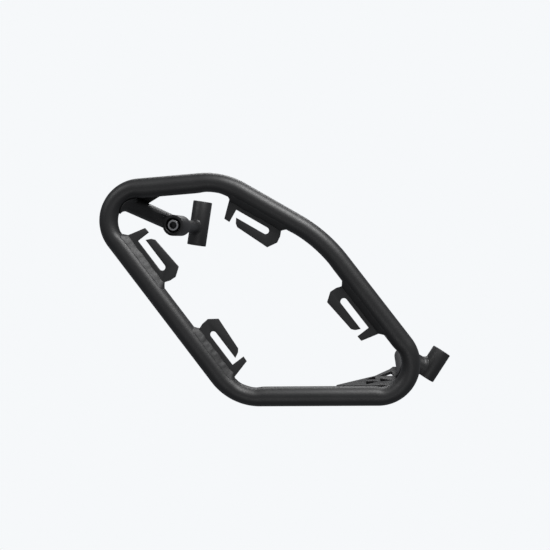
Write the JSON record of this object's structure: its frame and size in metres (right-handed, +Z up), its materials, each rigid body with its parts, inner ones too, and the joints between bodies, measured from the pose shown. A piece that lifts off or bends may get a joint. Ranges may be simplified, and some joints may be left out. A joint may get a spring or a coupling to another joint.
{
  "type": "pannier frame",
  "caption": "Welded black tube hoop with slotted strap tabs and two gusseted arms ending in bored sleeves, holding a soft pannier beside a motorcycle.",
  "frame": {"origin": "centre of the upper clamp sleeve's bore", "axes": "+X towards the motorcycle's front along the hoop, +Y square to the hoop's plane and inward to the motorcycle, +Z up"},
  "size_m": [0.4779, 0.2077, 0.3052],
  "materials": {
    "hoop_tube": "fine-textured satin black powder coat",
    "strap_tab_rear_upper": "fine-textured satin black powder coat",
    "strap_tab_rear_lower": "fine-textured satin black powder coat",
    "strap_tab_nose": "fine-textured satin black powder coat",
    "strap_tab_front": "fine-textured satin black powder coat",
    "weld_tab_rear_upper": "fine-textured satin black powder coat",
    "weld_tab_rear_lower": "fine-textured satin black powder coat",
    "weld_tab_nose": "fine-textured satin black powder coat",
    "weld_tab_front": "fine-textured satin black powder coat",
    "upper_arm": "fine-textured satin black powder coat",
    "upper_boss": "fine-textured satin black powder coat",
    "boss_washer": "black oxide, satin",
    "boss_bolt": "black oxide, satin",
    "upper_stub": "fine-textured satin black powder coat",
    "upper_sleeve": "fine-textured satin black powder coat",
    "upper_gusset": "fine-textured satin black powder coat",
    "weld_upper_arm": "fine-textured satin black powder coat",
    "weld_boss": "fine-textured satin black powder coat",
    "weld_upper_sleeve": "fine-textured satin black powder coat",
    "weld_upper_gusset": "fine-textured satin black powder coat",
    "lower_arm": "fine-textured satin black powder coat",
    "lower_sleeve": "fine-textured satin black powder coat",
    "lower_gusset": "fine-textured satin black powder coat",
    "weld_lower_arm": "fine-textured satin black powder coat",
    "weld_lower_sleeve": "fine-textured satin black powder coat",
    "weld_lower_gusset": "fine-textured satin black powder coat"
  },
  "bodies": {
    "root": {"hoop_tube": "hoop_tube", "strap_tab_rear_upper": "strap_tab_rear_upper", "strap_tab_rear_lower": "strap_tab_rear_lower", "strap_tab_nose": "strap_tab_nose", "strap_tab_front": "strap_tab_front", "weld_tab_rear_upper": "weld_tab_rear_upper", "weld_tab_rear_lower": "weld_tab_rear_lower", "weld_tab_nose": "weld_tab_nose", "weld_tab_front": "weld_tab_front", "upper_arm": "upper_arm", "upper_boss": "upper_boss", "boss_washer": "boss_washer", "boss_bolt": "boss_bolt", "upper_stub": "upper_stub", "upper_sleeve": "upper_sleeve", "upper_gusset": "upper_gusset", "weld_upper_arm": "weld_upper_arm", "weld_boss": "weld_boss", "weld_upper_sleeve": "weld_upper_sleeve", "weld_upper_gusset": "weld_upper_gusset", "lower_arm": "lower_arm", "lower_sleeve": "lower_sleeve", "lower_gusset": "lower_gusset", "weld_lower_arm": "weld_lower_arm", "weld_lower_sleeve": "weld_lower_sleeve", "weld_lower_gusset": "weld_lower_gusset"}
  },
  "joints": []
}
